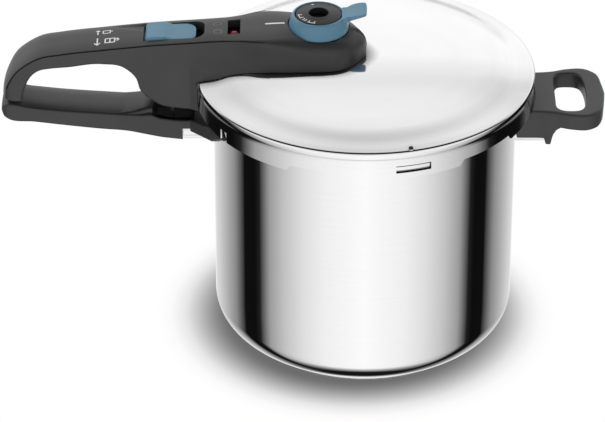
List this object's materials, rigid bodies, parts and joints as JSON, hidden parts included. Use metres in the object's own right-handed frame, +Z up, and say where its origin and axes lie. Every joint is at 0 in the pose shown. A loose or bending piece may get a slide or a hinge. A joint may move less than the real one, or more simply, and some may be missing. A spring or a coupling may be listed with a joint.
{
  "type": "stovetop pressure cooker",
  "caption": "Tall steel pressure cooker with a turning bayonet lid, a long double handle with a sliding lock, a rotary steam selector and a loop helper handle.",
  "frame": {"origin": "centre of the base's underside, on the pot's axis", "axes": "+Z up along the pot's axis, +X from the pot's axis to the loop helper handle, so the long handles point along -X"},
  "size_m": [0.4425, 0.2486, 0.2642],
  "materials": {
    "polished_steel": "mirror polished stainless steel",
    "lid_steel": "mirror polished stainless steel",
    "base_steel": "satin stainless steel",
    "aluminium_core": "rolled aluminium",
    "bracket_steel": "bright stamped stainless steel",
    "screw_steel": "turned stainless steel",
    "spring_steel": "spring steel wire",
    "valve_steel": "turned stainless steel",
    "valve_brass": "turned brass",
    "handle_plastic": "satin phenolic moulding",
    "black_plastic": "matt black moulding",
    "dial_plastic": "satin moulded plastic",
    "blue_plastic": "satin moulded plastic",
    "red_plastic": "glossy moulded plastic",
    "silicone": "moulded silicone"
  },
  "bodies": {
    "pot": {"pot_body": "polished_steel", "base_core": "aluminium_core", "base_cap": "base_steel", "pot_handle_bracket": "bracket_steel", "helper_bracket": "bracket_steel", "pot_handle": "handle_plastic", "helper_handle": "handle_plastic", "pot_handle_screw": "screw_steel", "helper_handle_screw": "screw_steel", "lock_keeper": "screw_steel", "keeper_housing": "black_plastic"},
    "gasket": {"lid_gasket": "silicone"},
    "lid": {"lid_shell": "lid_steel", "alignment_stud": "lid_steel", "lid_handle_body": "handle_plastic", "lid_handle_cover": "handle_plastic", "lid_handle_bracket": "bracket_steel", "lid_handle_screws": "screw_steel", "valve_body": "valve_steel", "valve_seal": "silicone", "valve_nut": "valve_steel", "valve_spring": "spring_steel", "valve_cap": "valve_steel", "steam_filter": "valve_steel", "safety_body": "valve_steel", "safety_seal": "silicone", "safety_nut": "valve_steel", "safety_spring": "spring_steel", "safety_cap": "valve_steel", "indicator_bush": "silicone", "lock_shroud": "black_plastic"},
    "selector": {"selector_disc": "dial_plastic", "selector_ring": "blue_plastic"},
    "regulator": {"valve_needle": "valve_brass"},
    "safety": {"safety_plug": "valve_brass"},
    "indicator": {"indicator_pin": "red_plastic", "indicator_seal": "silicone"},
    "lock": {"lock_button": "blue_plastic", "lock_bar": "bracket_steel", "lock_screw": "screw_steel"}
  },
  "joints": [
    {"name": "lid_lift", "type": "slide", "parent": "pot", "child": "gasket", "axis": [0, 0, 1], "range_m": [0, 0.12]},
    {"name": "lid_turn", "type": "hinge", "parent": "gasket", "child": "lid", "pos_m": [0, 0, 0.205], "axis": [0, 0, 1], "range_deg": [0, 28.25]},
    {"name": "selector_turn", "type": "hinge", "parent": "lid", "child": "selector", "pos_m": [-0.034, 0, 0.25], "axis": [0, 0, 1], "range_deg": [-60, 85]},
    {"name": "lock_slide", "type": "slide", "parent": "lid", "child": "lock", "axis": [1, 0, 0], "range_m": [0, 0.006]},
    {"name": "indicator_rise", "type": "slide", "parent": "lid", "child": "indicator", "axis": [0, 0, 1], "range_m": [0, 0.0025]},
    {"name": "regulator_lift", "type": "slide", "parent": "lid", "child": "regulator", "axis": [0, 0, 1], "range_m": [0, 0.0025], "deforming": ["valve_spring"]},
    {"name": "safety_lift", "type": "slide", "parent": "lid", "child": "safety", "axis": [0, 0, 1], "range_m": [0, 0.001], "deforming": ["safety_spring"]}
  ]
}
